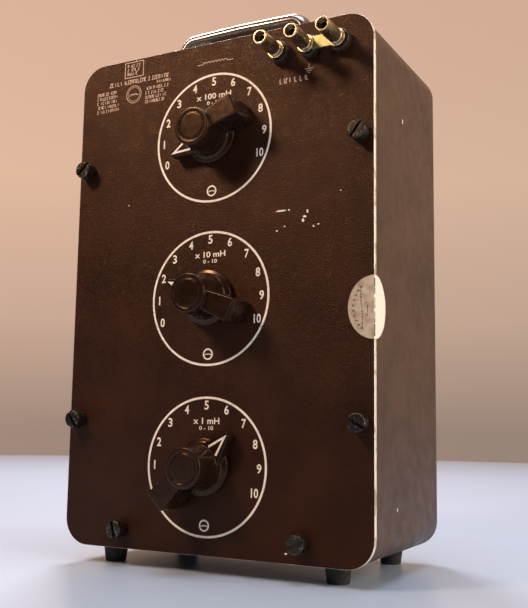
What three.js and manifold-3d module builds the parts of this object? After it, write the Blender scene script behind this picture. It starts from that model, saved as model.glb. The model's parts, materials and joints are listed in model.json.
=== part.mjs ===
// Three-dial decade inductance box: a bench standard in an upright metal case.
//
// Millimetres, +Z up, +X to the right and +Y from the front panel towards the back.
// Pieces are drawn from the middle of the panel's front face line, so that Y = 0 is the
// panel's front face and Z = 0 is the table. The outermost group then moves the whole box
// along Y, so that the origin is under the middle of its overall depth.

import * as THREE from "three";
import { mergeVertices } from "three/addons/utils/BufferGeometryUtils.js";
import Module from "manifold-3d";

const wasm = await Module();
wasm.setup();

// ---------------------------------------------------------------- driving dimensions

const GAP = 0.3; // running and assembly clearance between neighbouring pieces
const INCH = 25.4;
const FACETS = { knob: 24, round: 16, small: 12, stud: 6 }; // sides of a full circle
const ARC = 3; // a drawn quarter circle has twice this many straight pieces

const PANEL = { width: 8 * INCH, height: 12 * INCH, thickness: 3.2, corner: 16 };
const CASE = { depth: 118, wall: 2, inset: 0.8, rearRadius: 10 };
const FOOT = {
  height: 10.5,
  topRadius: 7.6,
  tipRadius: 6.2,
  edge: 0.7,
  recess: 2.6, // radius of the blind hole in its underside
  x: 74.5,
  frontY: 16,
  rearY: 98,
};
const PANEL_BOTTOM = 10;

const SCREW = {
  headRadius: 5.3,
  headHeight: 8,
  edge: 0.9,
  shank: 2.1,
  length: 12,
  slot: 1.7,
  slotDepth: 2.6,
  slotAngles: [55, 30, 135, 128, 75, 160], // clockwise from level, side screws upwards first
};
const SIDE_SCREW = { x: 94, heights: [76, 234] }; // heights are above the panel's lower edge
const LOWER_SCREW = { x: 59.5, height: 11.5 };
const BOSS = { width: 12, height: 12, depth: 14 };

const STEP = 22.5; // degrees between two dial positions
const ZERO_ANGLE = -5 * STEP; // position 5 is straight up
const DIAL = { x: -1.5, pitch: 97.5, lowest: 49.9 };
const DECADES = [
  { name: "decade_100mh", level: 2, setting: 0 },
  { name: "decade_10mh", level: 1, setting: 2 },
  { name: "decade_1mh", level: 0, setting: 7 },
];

const KNOB = {
  lift: 1.2, // from the panel to the skirt
  skirtRadius: 16.5,
  skirtTop: 3.8,
  bossRadius: 12.2,
  capRadius: 11.4,
  height: 24.4,
  edge: 0.8,
  ring: { inner: 7.9, outer: 8.9, depth: 0.7 },
  nose: { reach: 26.6, top: 8.2, root: 5.5, rootHalfWidth: 9.8, tipHalfWidth: 1.3, round: 0.6 },
  tail: { reach: 27.8, top: 21.7, rootHalfWidth: 4.8, endHalfWidth: 6.9, corner: 1.6 },
  bore: 19.5, // how far in front of the panel the shaft's hole ends
  nutPocket: { radius: 9.2, depth: 4 },
};
const SHAFT = { radius: 3.1, front: -19, back: 27 };
const BUSHING = { radius: 4.6, front: -4.2 };
const BUSHING_NUT = { across: 12.4, thickness: 2.2 };
const SWITCH = { radius: 27, plate: 3, wall: 2, back: 31 };
const DETENT = { radius: 17, depth: 1.4, front: 9, thickness: 3, teeth: 360 / STEP };
const SPRING = { noseHalfWidth: 1.4, leaf: 0.8, leafLift: 2.4, right: 8, left: -5 };
const ROTOR = { front: 14, thickness: 3.4, hub: 7, reach: 21.5, width: 6 };
const CONTACT = { plateFront: 24, plate: 3, circle: 20, radius: 1.6, front: 22, back: 30 };
const COILS = { front: 30.6, mandrel: 8, gap: 3, radii: [20, 22, 22, 25], thickness: [12, 14, 14, 18] };

const POST = { spacing: 0.75 * INCH, middleX: 63.1, belowTop: 16.2, reach: 27 };
const STUD = { radius: 2.7, jack: 2.05, jackDepth: 16, front: 24.4, back: 15 };
const BASE = { radius: 6.5, height: 5.5, edge: 1, spigot: 4.1 };
const LINK = { thickness: 1.2, width: 7.6, tail: 5.2 }; // tail: past the middle of the hook
const WASHER = { radius: 5.2, thickness: 0.8 };
const THUMB_NUT = { radius: 4.2, bore: 3.0, mouth: 3.4, edge: 0.5, countersink: 1.2 };
const REAR_NUT = { across: 9, thickness: 3 };

const HANDLE = {
  width: 16,
  thickness: 10,
  behind: 35.5, // from the panel's front to the handle's middle
  rise: 20.3,
  endX: 43.5,
  foot: 3,
  bend: 8,
  bow: 0.5,
};
const BRACKET = {
  base: { x: 26, y: 24, top: 2.4, corner: 4 },
  collar: { x: 16.4, y: 22, top: 9, corner: 5 },
  pocket: { x: 13, y: 18.6, corner: 4 },
};
const SEAL = { radius: 17.2, height: 137.4, paper: 0.25, lift: 0.1 };

const PANEL_TOP = PANEL_BOTTOM + PANEL.height;
const CASE_TOP = PANEL_TOP - CASE.inset;
const LINK_FRONT = BASE.height + GAP + LINK.thickness;
const WASHER_FRONT = LINK_FRONT + GAP + WASHER.thickness;

// ---------------------------------------------------------------- materials

const material = (color, roughness, metalness = 0) =>
  new THREE.MeshStandardMaterial({ color, roughness, metalness });

const MATERIALS = {
  cracklePaint: material(0x2a201b, 0.6),
  panelPaint: material(0x2b1e19, 0.45),
  blackOxide: material(0x1a1716, 0.35, 0.6),
  rubber: material(0x17161a, 0.8),
  phenolic: material(0x16110f, 0.25),
  brass: material(0xa98d4a, 0.35, 0.9),
  nickel: material(0xb9b4a8, 0.3, 0.9),
  steel: material(0x8d8f92, 0.4, 0.9),
  laminate: material(0x5a3a22, 0.6),
  copper: material(0x9a5a34, 0.5, 0.5),
  paper: material(0xd9cba6, 0.9),
  handle: material(0x1d1816, 0.4),
};

// ---------------------------------------------------------------- solids and shapes

// A three.js geometry as a manifold-3d solid.
function solid(geometry) {
  const flat = geometry.index ? geometry.toNonIndexed() : geometry;
  const bare = new THREE.BufferGeometry();
  bare.setAttribute("position", flat.getAttribute("position"));
  const merged = mergeVertices(bare, 1e-4);
  const corners = [];
  for (let i = 0; i < merged.index.count; i += 3) {
    const [a, b, c] = merged.index.array.subarray(i, i + 3);
    if (a !== b && b !== c && c !== a) corners.push(a, b, c);
  }
  const vertProperties = merged.attributes.position.array;
  return new wasm.Manifold(
    new wasm.Mesh({ numProp: 3, vertProperties, triVerts: new Uint32Array(corners) }),
  );
}

// A manifold-3d solid as a three.js geometry.
function geometryOf(made) {
  const mesh = made.getMesh();
  const points = new Float32Array(mesh.numVert * 3);
  for (let i = 0; i < mesh.numVert; i++) {
    points.set(mesh.vertProperties.subarray(i * mesh.numProp, i * mesh.numProp + 3), i * 3);
  }
  const geometry = new THREE.BufferGeometry();
  geometry.setAttribute("position", new THREE.BufferAttribute(points, 3));
  geometry.setIndex(new THREE.BufferAttribute(new Uint32Array(mesh.triVerts), 1));
  geometry.computeVertexNormals();
  return geometry;
}

const join = (first, ...others) => others.reduce((sum, other) => sum.add(other), first);
const cut = (first, ...others) => others.reduce((rest, other) => rest.subtract(other), first);

// A solid of revolution about the Y axis, from [radius, y] pairs in either sense.
function turned(profile, segments = FACETS.round) {
  let area = 0;
  profile.forEach(([r, y], i) => {
    const [nextR, nextY] = profile[(i + 1) % profile.length];
    area += r * nextY - nextR * y;
  });
  const ordered = area > 0 ? profile : [...profile].reverse();
  const closed = ordered[0][0] > 0 ? [...ordered, ordered[0]] : ordered;
  const points = closed.map(([r, y]) => new THREE.Vector2(r, y));
  return solid(new THREE.LatheGeometry(points, segments));
}

// A plain cylinder along Y.
const rod = (radius, from, to, segments = FACETS.small) =>
  turned([[0, from], [radius, from], [radius, to], [0, to]], segments);

// A box given by its lowest and highest corners.
function block(low, high) {
  const size = high.map((value, i) => value - low[i]);
  const middle = high.map((value, i) => (value + low[i]) / 2);
  return solid(new THREE.BoxGeometry(...size).translate(...middle));
}

// Which way an outline's own x, y and thickness point, for a plate across each axis.
const UNIT = { x: [1, 0, 0], y: [0, 1, 0], z: [0, 0, 1], back: [0, -1, 0] };
const AXES = Object.fromEntries(
  Object.entries(UNIT).map(([name, values]) => [name, new THREE.Vector3(...values)]),
);
const ACROSS = {
  x: [AXES.y, AXES.z, AXES.x],
  y: [AXES.x, AXES.z, AXES.back],
  z: [AXES.x, AXES.y, AXES.z],
};

// An outline made solid between two values on the axis it lies across.
function plate(outline, across, from, to, curveSegments = ARC) {
  const options = { depth: to - from, bevelEnabled: false, curveSegments };
  const geometry = new THREE.ExtrudeGeometry(outline, options);
  geometry.applyMatrix4(new THREE.Matrix4().makeBasis(...ACROSS[across]));
  const start = AXES[across].clone().multiplyScalar(across === "y" ? to : from);
  return solid(geometry.translate(...start));
}

// A rectangle with round corners, centred on a point.
function roundedRectangle(width, height, radius, centreX = 0, centreY = 0) {
  const right = centreX + width / 2;
  const left = centreX - width / 2;
  const top = centreY + height / 2;
  const bottom = centreY - height / 2;
  const shape = new THREE.Shape();
  shape.moveTo(right - radius, top);
  shape.absarc(left + radius, top - radius, radius, Math.PI / 2, Math.PI);
  shape.absarc(left + radius, bottom + radius, radius, Math.PI, 1.5 * Math.PI);
  shape.absarc(right - radius, bottom + radius, radius, 1.5 * Math.PI, 2 * Math.PI);
  shape.absarc(right - radius, top - radius, radius, 0, Math.PI / 2);
  return shape;
}

// A closed surface through rings of equal point counts, capped at both ends. Each ring runs
// anticlockwise as seen from the front, and the rings follow each other towards the back.
function lofted(rings) {
  const count = rings[0].length;
  const points = rings.flat();
  const middle = (ring) =>
    ring.reduce((sum, point) => sum.add(point), new THREE.Vector3()).divideScalar(count);
  points.push(middle(rings[0]), middle(rings.at(-1)));
  const faces = [];
  for (let i = 0; i < count; i++) {
    const next = (i + 1) % count;
    for (let ring = 0; ring + 1 < rings.length; ring++) {
      const low = ring * count;
      const high = low + count;
      faces.push(low + i, high + next, low + next, low + i, high + i, high + next);
    }
    const last = (rings.length - 1) * count;
    faces.push(rings.length * count, i, next);
    faces.push(rings.length * count + 1, last + next, last + i);
  }
  const geometry = new THREE.BufferGeometry().setFromPoints(points);
  geometry.setIndex(faces);
  return solid(geometry);
}

function placed(name, made, finish, position = [0, 0, 0]) {
  const mesh = new THREE.Mesh(geometryOf(made), finish);
  mesh.name = name;
  mesh.position.set(...position);
  return mesh;
}

function grouped(position, ...members) {
  const group = new THREE.Group();
  group.position.set(...position);
  group.add(...members);
  return group;
}

const radians = THREE.MathUtils.degToRad;

// ---------------------------------------------------------------- case and panel

const SCREW_PLACES = [
  ...SIDE_SCREW.heights.flatMap((height) => [
    [-SIDE_SCREW.x, PANEL_BOTTOM + height],
    [SIDE_SCREW.x, PANEL_BOTTOM + height],
  ]),
  [-LOWER_SCREW.x, PANEL_BOTTOM + LOWER_SCREW.height],
  [LOWER_SCREW.x, PANEL_BOTTOM + LOWER_SCREW.height],
];
const POST_PLACES = [-1, 0, 1].map((step) => [
  POST.middleX + step * POST.spacing,
  PANEL_TOP - POST.belowTop,
]);
const dialHeight = (level) => PANEL_BOTTOM + DIAL.lowest + level * DIAL.pitch;
const PANEL_MIDDLE = PANEL_BOTTOM + PANEL.height / 2;

function panel() {
  const { width, height, thickness, corner } = PANEL;
  const outline = roundedRectangle(width, height, corner, 0, PANEL_MIDDLE);
  const hole = (x, z, radius) => rod(radius, -1, thickness + 1).translate([x, 0, z]);
  const holes = [
    ...DECADES.map(({ level }) => hole(DIAL.x, dialHeight(level), BUSHING.radius + GAP)),
    ...POST_PLACES.map(([x, z]) => hole(x, z, BASE.spigot + GAP)),
    ...SCREW_PLACES.map(([x, z]) => hole(x, z, SCREW.shank + GAP)),
  ];
  return cut(plate(outline, "y", 0, thickness), ...holes);
}

// One turn of the case's outline at a given Y, drawn in by a distance from the outside.
function caseRing(y, drawnIn) {
  const { width, height, corner } = PANEL;
  const inset = CASE.inset + drawnIn;
  const radius = Math.max(corner - inset, 2);
  const outline = roundedRectangle(
    width - 2 * inset, height - 2 * inset, radius, 0, PANEL_MIDDLE,
  );
  const arcPoints = outline.getPoints(ARC).slice(0, -1);
  return arcPoints.map((point) => new THREE.Vector3(point.x, y, point.y));
}

// The case's skin drawn in by a distance: straight sides and a rounded rear edge.
function caseBody(front, drawnIn) {
  const back = CASE.depth - drawnIn;
  const radius = CASE.rearRadius - drawnIn;
  const rings = [caseRing(front, drawnIn)];
  const bends = 3;
  for (let i = 0; i <= bends; i++) {
    const angle = (i / bends) * (Math.PI / 2);
    const y = back - radius + radius * Math.sin(angle);
    rings.push(caseRing(y, drawnIn + radius * (1 - Math.cos(angle))));
  }
  return lofted(rings);
}

function caseShell() {
  const front = PANEL.thickness + GAP;
  const wallFace = PANEL.width / 2 - CASE.inset - CASE.wall / 2;
  const floorFace = PANEL_BOTTOM + CASE.inset + CASE.wall / 2;
  const bosses = SCREW_PLACES.map(([x, z]) => {
    const halfWidth = BOSS.width / 2;
    const halfHeight = BOSS.height / 2;
    const onSide = Math.abs(x) > LOWER_SCREW.x;
    const low = [x - halfWidth, front, onSide ? z - halfHeight : floorFace];
    const high = [x + halfWidth, front + BOSS.depth, z + halfHeight];
    if (onSide && x > 0) high[0] = wallFace;
    if (onSide && x < 0) low[0] = -wallFace;
    return block(low, high);
  });
  const screwHoles = SCREW_PLACES.map(([x, z]) =>
    rod(SCREW.shank + GAP, 0, SCREW.length + 2 * GAP).translate([x, 0, z]),
  );
  const shell = cut(caseBody(front, 0), caseBody(front - 1, CASE.wall));
  return cut(join(shell, ...bosses), ...screwHoles);
}

function panelScrew() {
  const { headRadius, headHeight, edge, shank, length, slot, slotDepth } = SCREW;
  const front = -GAP - headHeight;
  const body = turned([
    [0, front],
    [headRadius - edge, front],
    [headRadius, front + edge],
    [headRadius, -GAP],
    [shank, -GAP],
    [shank, length],
    [0, length],
  ]);
  const reach = headRadius + 1;
  return cut(body, block([-reach, front - 1, -slot / 2], [reach, front + slotDepth, slot / 2]));
}

function foot() {
  const { height, topRadius, tipRadius, edge, recess } = FOOT;
  const profile = [
    [recess, 0],
    [tipRadius - edge, 0],
    [tipRadius, edge],
    [topRadius, height],
    [0, height],
    [0, height / 2],
    [recess, height / 2],
  ];
  return turned(profile).rotate([90, 0, 0]);
}

// ---------------------------------------------------------------- handle and seal

// A flattened bar that stands in two brackets and bows up between them. Its own Z = 0 is the
// top of the case.
function handleBar() {
  const { width, thickness, rise, endX, foot, bend, bow } = HANDLE;
  const cutCorner = 0.3 * bend; // how far the middle of a bend lies in from its corner
  const top = rise - bow;
  const rightHalf = [
    [endX - bend, top],
    [endX - cutCorner, top - cutCorner],
    [endX, top - bend],
    [endX, foot],
  ];
  const leftHalf = rightHalf.map(([x, z]) => [-x, z]).reverse();
  const line = [...leftHalf, [0, rise], ...rightHalf];
  const path = new THREE.CatmullRomCurve3(line.map(([x, z]) => new THREE.Vector3(x, 0, z)));
  const section = new THREE.Shape();
  section.absellipse(0, 0, width / 2, thickness / 2, 0, 2 * Math.PI);
  const options = { steps: 24, extrudePath: path, curveSegments: 5 };
  return solid(new THREE.ExtrudeGeometry(section, options));
}

// A socket on a foot plate, open at the top for the end of the bar.
function handleBracket() {
  const { base, collar, pocket } = BRACKET;
  const upright = ({ x, y, corner }, from, to) =>
    plate(roundedRectangle(x, y, corner), "z", from, to, 2);
  const body = join(upright(base, 0, base.top), upright(collar, 0, collar.top));
  return cut(body, upright(pocket, base.top, collar.top + 1));
}

// A round paper disc folded in half over the panel's right edge. Its middle is the fold.
function calibrationSeal() {
  const { radius, paper } = SEAL;
  const half = new THREE.Shape();
  half.moveTo(paper, -radius);
  half.lineTo(paper, radius);
  half.lineTo(0, radius);
  half.absarc(0, 0, radius, Math.PI / 2, 1.5 * Math.PI);
  const otherHalf = new THREE.Shape();
  otherHalf.moveTo(-paper, -radius);
  otherHalf.lineTo(0, -radius);
  otherHalf.absarc(0, 0, radius, -Math.PI / 2, Math.PI / 2);
  otherHalf.lineTo(-paper, radius);
  return join(plate(half, "y", -paper, 0, 10), plate(otherHalf, "x", 0, paper, 10));
}

// ---------------------------------------------------------------- decades

// The knob's axis is Y and its pointer is up: a skirted boss with a low pointed nose on the
// pointer's side, a tall flaring tail on the other and a shallow ring sunk in its cap.
function knob() {
  const { lift, skirtRadius, skirtTop, bossRadius, capRadius, height, edge, ring } = KNOB;
  const { nose, tail, bore, nutPocket } = KNOB;
  const core = turned(
    [
      [0, -lift],
      [skirtRadius, -lift],
      [skirtRadius, -skirtTop],
      [bossRadius + 1.6, -skirtTop - 1.2],
      [bossRadius, -skirtTop - 4],
      [capRadius, -height + edge],
      [capRadius - edge, -height],
      [ring.outer, -height],
      [ring.outer, -height + ring.depth],
      [ring.inner, -height + ring.depth],
      [ring.inner, -height],
      [0, -height],
    ],
    FACETS.knob,
  );
  const pointer = new THREE.Shape();
  pointer.moveTo(-nose.rootHalfWidth, nose.root);
  pointer.lineTo(nose.rootHalfWidth, nose.root);
  pointer.lineTo(nose.tipHalfWidth, nose.reach - nose.round);
  pointer.quadraticCurveTo(0, nose.reach + nose.round, -nose.tipHalfWidth, nose.reach - nose.round);
  const grip = new THREE.Shape();
  grip.moveTo(tail.rootHalfWidth, 0);
  grip.lineTo(-tail.rootHalfWidth, 0);
  grip.lineTo(-tail.endHalfWidth, tail.corner - tail.reach);
  grip.quadraticCurveTo(-tail.endHalfWidth, -tail.reach, tail.corner - tail.endHalfWidth, -tail.reach);
  grip.lineTo(tail.endHalfWidth - tail.corner, -tail.reach);
  grip.quadraticCurveTo(tail.endHalfWidth, -tail.reach, tail.endHalfWidth, tail.corner - tail.reach);
  return cut(
    join(core, plate(pointer, "y", -nose.top, -lift), plate(grip, "y", -tail.top, -lift)),
    rod(SHAFT.radius + GAP, -bore, 0),
    rod(nutPocket.radius, -lift - nutPocket.depth, 0),
  );
}

function hexagon(across) {
  const shape = new THREE.Shape();
  const radius = across / Math.sqrt(3);
  for (let i = 0; i < 6; i++) {
    const angle = (i * Math.PI) / 3;
    const point = [radius * Math.cos(angle), radius * Math.sin(angle)];
    if (i) shape.lineTo(...point);
    else shape.moveTo(...point);
  }
  return shape;
}

// A hexagon nut between two Y values, with a plain hole.
const nut = (across, from, to, hole) =>
  cut(plate(hexagon(across), "y", from, to), rod(hole, from - 1, to + 1));

// The switch's moulded cup, open at the back, with the bushing that passes the panel.
function switchHousing() {
  const front = PANEL.thickness + GAP;
  const inside = front + SWITCH.plate;
  const bore = SHAFT.radius + GAP;
  return turned([
    [bore, BUSHING.front],
    [BUSHING.radius, BUSHING.front],
    [BUSHING.radius, front],
    [SWITCH.radius, front],
    [SWITCH.radius, SWITCH.back],
    [SWITCH.radius - SWITCH.wall, SWITCH.back],
    [SWITCH.radius - SWITCH.wall, inside],
    [bore, inside],
  ]);
}

// A wheel with one shallow valley for each dial position.
function detentWheel() {
  const { radius, depth, front, thickness, teeth } = DETENT;
  const shape = new THREE.Shape();
  for (let i = 0; i < teeth * 2; i++) {
    const reach = i % 2 ? radius : radius - depth;
    const angle = radians(90 + (i * STEP) / 2);
    const point = [reach * Math.cos(angle), reach * Math.sin(angle)];
    if (i) shape.lineTo(...point);
    else shape.moveTo(...point);
  }
  const wheel = plate(shape, "y", front, front + thickness);
  return cut(wheel, rod(SHAFT.radius + GAP, front - 1, front + thickness + 1));
}

// A leaf spring above the wheel, with a nose that points into a valley and a foot that rises
// to the inside of the housing.
function detentSpring() {
  const { noseHalfWidth, leaf, leafLift, right, left } = SPRING;
  const { radius, front, thickness } = DETENT;
  const under = radius + leafLift;
  const flatOfWall = (SWITCH.radius - SWITCH.wall) * Math.cos(Math.PI / FACETS.round);
  const footTop = Math.sqrt((flatOfWall - GAP) ** 2 - left ** 2);
  const shape = new THREE.Shape();
  shape.moveTo(-noseHalfWidth, under);
  shape.lineTo(0, radius + GAP);
  shape.lineTo(noseHalfWidth, under);
  shape.lineTo(right, under);
  shape.lineTo(right, under + leaf);
  shape.lineTo(left + 1, under + leaf);
  shape.lineTo(left + 1, footTop);
  shape.lineTo(left, footTop);
  shape.lineTo(left, under);
  return plate(shape, "y", front, front + thickness);
}

// The arm that carries the brush round the contact studs.
function rotor() {
  const { front, thickness, hub, reach, width } = ROTOR;
  const back = front + thickness;
  const brushBack = CONTACT.front - GAP;
  const arm = block([-width / 2, front, 0], [width / 2, back, reach]);
  const brush = rod(width / 2 - 1, front, brushBack).translate([0, 0, CONTACT.circle - 1]);
  const body = join(rod(hub, front, back, FACETS.round), arm, brush);
  return cut(body, rod(SHAFT.radius + GAP, front - 1, back + 1));
}

// The laminate disc at the back of the switch, with a stud for each of the eleven positions.
function contactPlate() {
  const { plateFront, plate: thickness, circle, radius, front, back } = CONTACT;
  const discRadius = SWITCH.radius - SWITCH.wall - GAP;
  const disc = rod(discRadius, plateFront, plateFront + thickness, FACETS.round);
  const studs = Array.from({ length: 11 }, (_, i) => {
    const angle = radians(ZERO_ANGLE + i * STEP);
    const place = [circle * Math.sin(angle), 0, circle * Math.cos(angle)];
    return rod(radius, front, back, FACETS.stud).translate(place);
  });
  return cut(join(disc, ...studs), rod(SHAFT.radius + GAP, front, back));
}

// Four wound toroids on one mandrel, as one turned body.
function coilStack() {
  const { front, mandrel, gap, radii, thickness } = COILS;
  const profile = [[0, front]];
  let y = front;
  radii.forEach((radius, i) => {
    profile.push([mandrel, y], [mandrel, y + gap], [radius, y + gap]);
    y += gap + thickness[i];
    profile.push([radius, y]);
  });
  return turned([...profile, [0, y]], FACETS.small);
}

function decade({ name, level, setting }) {
  const turning = new THREE.Group();
  turning.rotation.y = radians(ZERO_ANGLE + setting * STEP);
  turning.add(
    placed(`${name}_knob`, knob(), MATERIALS.phenolic),
    placed(`${name}_shaft`, rod(SHAFT.radius, SHAFT.front, SHAFT.back), MATERIALS.steel),
    placed(`${name}_detent_wheel`, detentWheel(), MATERIALS.steel),
    placed(`${name}_rotor`, rotor(), MATERIALS.laminate),
  );
  const { across, thickness } = BUSHING_NUT;
  const bushingNut = nut(across, -GAP - thickness, -GAP, BUSHING.radius + GAP);
  return grouped(
    [DIAL.x, 0, dialHeight(level)],
    turning,
    placed(`${name}_bushing_nut`, bushingNut, MATERIALS.nickel),
    placed(`${name}_switch_housing`, switchHousing(), MATERIALS.phenolic),
    placed(`${name}_detent_spring`, detentSpring(), MATERIALS.steel),
    placed(`${name}_contact_plate`, contactPlate(), MATERIALS.laminate),
    placed(`${name}_coil_stack`, coilStack(), MATERIALS.copper),
  );
}

// ---------------------------------------------------------------- binding posts

function postStud() {
  const { radius, jack, jackDepth, front, back } = STUD;
  const profile = [
    [jack, -front],
    [radius, -front],
    [radius, back],
    [0, back],
    [0, jackDepth - front],
    [jack, jackDepth - front],
  ];
  return turned(profile, FACETS.small);
}

// The moulded collar that holds the stud clear of the panel, with a spigot in the hole.
function postBase() {
  const { radius, height, edge, spigot } = BASE;
  const bore = STUD.radius + GAP;
  return turned([
    [bore, -height],
    [radius - edge, -height],
    [radius, -height + edge],
    [radius, -GAP],
    [spigot, -GAP],
    [spigot, PANEL.thickness],
    [bore, PANEL.thickness],
  ]);
}

function thumbNut() {
  const { radius, bore, mouth, edge, countersink } = THUMB_NUT;
  const back = -WASHER_FRONT - GAP;
  const front = -POST.reach;
  return turned([
    [bore, back],
    [radius, back],
    [radius, front + edge],
    [radius - edge, front],
    [mouth, front],
    [bore, front + countersink],
  ]);
}

function clampWasher() {
  const { radius, thickness } = WASHER;
  const front = -WASHER_FRONT;
  return cut(rod(radius, front, front + thickness), rod(STUD.radius + GAP, front - 1, 0));
}

function post(number) {
  const [x, z] = POST_PLACES[number - 1];
  const name = `post_${number}`;
  const backOfPanel = PANEL.thickness + GAP;
  const rearNut = nut(
    REAR_NUT.across, backOfPanel, backOfPanel + REAR_NUT.thickness, STUD.radius + GAP,
  );
  return grouped(
    [x, 0, z],
    placed(`${name}_stud`, postStud(), MATERIALS.brass),
    placed(`${name}_base`, postBase(), MATERIALS.phenolic),
    placed(`${name}_washer`, clampWasher(), MATERIALS.brass),
    placed(`${name}_thumb_nut`, thumbNut(), MATERIALS.brass),
    placed(`${name}_rear_nut`, rearNut, MATERIALS.nickel),
  );
}

// A flat bar from the right post, drawn round it, to a hook that is open underneath so
// that the bar can swing up and away from the middle post.
function shortingLink() {
  const { thickness, width, tail } = LINK;
  const front = -LINK_FRONT;
  const back = front + thickness;
  const length = POST.spacing + tail + width / 2;
  const bar = roundedRectangle(length, width, width / 2 - 0.1, width / 2 - length / 2, 0);
  const clearance = STUD.radius + GAP;
  const hook = rod(clearance, front - 1, back + 1).translate([-POST.spacing, 0, 0]);
  const mouth = block(
    [-POST.spacing - clearance, front - 1, -width],
    [-POST.spacing + clearance, back + 1, 0],
  );
  return cut(plate(bar, "y", front, back), rod(clearance, front - 1, back + 1), hook, mouth);
}

// ---------------------------------------------------------------- the whole box

const box = new THREE.Group();
box.position.y = (POST.reach - CASE.depth) / 2;

box.add(
  placed("case_shell", caseShell(), MATERIALS.cracklePaint),
  placed("front_panel", panel(), MATERIALS.panelPaint),
);

SCREW_PLACES.forEach(([x, z], i) => {
  const screw = placed(`panel_screw_${i + 1}`, panelScrew(), MATERIALS.blackOxide, [x, 0, z]);
  screw.rotation.y = radians(SCREW.slotAngles[i]);
  box.add(screw);
});

for (const [side, sign] of [["left", -1], ["right", 1]]) {
  for (const [end, y] of [["front", FOOT.frontY], ["rear", FOOT.rearY]]) {
    box.add(placed(`foot_${end}_${side}`, foot(), MATERIALS.rubber, [sign * FOOT.x, y, 0]));
  }
  const bracketPlace = [sign * HANDLE.endX, HANDLE.behind, CASE_TOP + GAP];
  box.add(placed(`handle_bracket_${side}`, handleBracket(), MATERIALS.nickel, bracketPlace));
}
box.add(
  placed("carry_handle", handleBar(), MATERIALS.handle, [0, HANDLE.behind, CASE_TOP]),
  placed("calibration_seal", calibrationSeal(), MATERIALS.paper, [
    PANEL.width / 2 + SEAL.lift, -SEAL.lift, PANEL_BOTTOM + SEAL.height,
  ]),
);

DECADES.forEach((each) => box.add(decade(each)));
POST_PLACES.forEach((_, i) => box.add(post(i + 1)));
const [linkX, linkZ] = POST_PLACES[2];
box.add(placed("shorting_link", shortingLink(), MATERIALS.nickel, [linkX, 0, linkZ]));

export default new THREE.Group().add(box);
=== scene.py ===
"""Looks of a three-dial decade inductance box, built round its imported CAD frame.

Places come from the frame's own boxes, in metres. Lengths written as numbers are in
millimetres and become metres through MM, except on the stage (table, lights and camera),
where they are metres. Small parts are drawn about their own axis, with Y = 0 at the panel's
front face, -Y towards the viewer and +Z up, and are then moved.
"""

import json
import math
import random

import bmesh
import bpy
from mathutils import Matrix, Vector, noise


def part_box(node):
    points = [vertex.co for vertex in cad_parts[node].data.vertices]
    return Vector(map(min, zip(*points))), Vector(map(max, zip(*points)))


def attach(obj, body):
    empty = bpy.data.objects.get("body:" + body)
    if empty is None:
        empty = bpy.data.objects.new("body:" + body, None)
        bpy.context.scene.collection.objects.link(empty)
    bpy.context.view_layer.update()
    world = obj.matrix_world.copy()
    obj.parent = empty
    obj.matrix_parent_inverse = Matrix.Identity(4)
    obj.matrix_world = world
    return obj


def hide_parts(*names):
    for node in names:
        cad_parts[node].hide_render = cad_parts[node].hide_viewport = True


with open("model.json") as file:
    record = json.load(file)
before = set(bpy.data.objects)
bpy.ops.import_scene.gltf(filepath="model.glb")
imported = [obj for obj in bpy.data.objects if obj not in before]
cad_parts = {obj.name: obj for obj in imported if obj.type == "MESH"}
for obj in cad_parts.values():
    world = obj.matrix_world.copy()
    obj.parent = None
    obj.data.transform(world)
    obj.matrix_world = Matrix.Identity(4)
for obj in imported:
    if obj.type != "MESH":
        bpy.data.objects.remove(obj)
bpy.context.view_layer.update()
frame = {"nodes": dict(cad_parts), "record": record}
RECORD = frame["record"]

MM = 0.001
NEAR_AXIS = 1e-6  # a smaller radius counts as a point on the axis
PANEL_LOW, PANEL_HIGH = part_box("front_panel")
CASE_LOW, CASE_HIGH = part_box("case_shell")
FRONT = PANEL_LOW.y
PANEL_CORNER = 16
CASE_CORNER = 15.2
STEP = math.radians(22.5)
ZERO = -5 * STEP
DECADES = {"decade_100mh": ("100", 0), "decade_10mh": ("10", 2), "decade_1mh": ("1", 7)}
POSTS = (1, 2, 3)


def middle(node):
    low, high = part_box(node)
    return (low + high) / 2


DIAL_CENTRES = {name: middle(f"{name}_shaft") for name in DECADES}
POST_CENTRES = {number: middle(f"post_{number}_stud") for number in POSTS}

# -------------------- mesh building


def soften(points, steps=5):
    """A closed outline with each corner (x, y, radius) replaced by an arc."""
    outline = []
    for i, corner in enumerate(points):
        here = Vector(corner[:2])
        radius = corner[2] if len(corner) > 2 else 0
        if not radius:
            outline.append(tuple(here))
            continue
        before = (Vector(points[i - 1][:2]) - here).normalized()
        after = (Vector(points[(i + 1) % len(points)][:2]) - here).normalized()
        half = before.angle(after) / 2
        centre = here + (before + after).normalized() * (radius / math.sin(half))
        start = here + before * (radius / math.tan(half)) - centre
        turn = math.pi - 2 * half
        if before.cross(after) > 0:
            turn = -turn
        for step in range(steps + 1):
            angle = turn * step / steps
            cos, sin = math.cos(angle), math.sin(angle)
            x = centre.x + start.x * cos - start.y * sin
            y = centre.y + start.x * sin + start.y * cos
            outline.append((x, y))
    return outline


def rounded_rectangle(width, height, radius, steps=8):
    x, y = width / 2, height / 2
    corners = [(-x, -y, radius), (x, -y, radius), (x, y, radius), (-x, y, radius)]
    return soften(corners, steps)


def inset(outline, distance):
    """The outline moved inwards; it runs anticlockwise."""
    least_lean = 0.3  # keeps a sharp corner from running away
    drawn = []
    for i, point in enumerate(outline):
        here = Vector(point)
        before = (here - Vector(outline[i - 1])).normalized()
        after = (Vector(outline[(i + 1) % len(outline)]) - here).normalized()
        inwards = Vector((-before.y - after.y, before.x + after.x)).normalized()
        lean = max(inwards.dot(Vector((-before.y, before.x))), least_lean)
        drawn.append(tuple(here + inwards * (distance / lean)))
    return drawn


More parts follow.
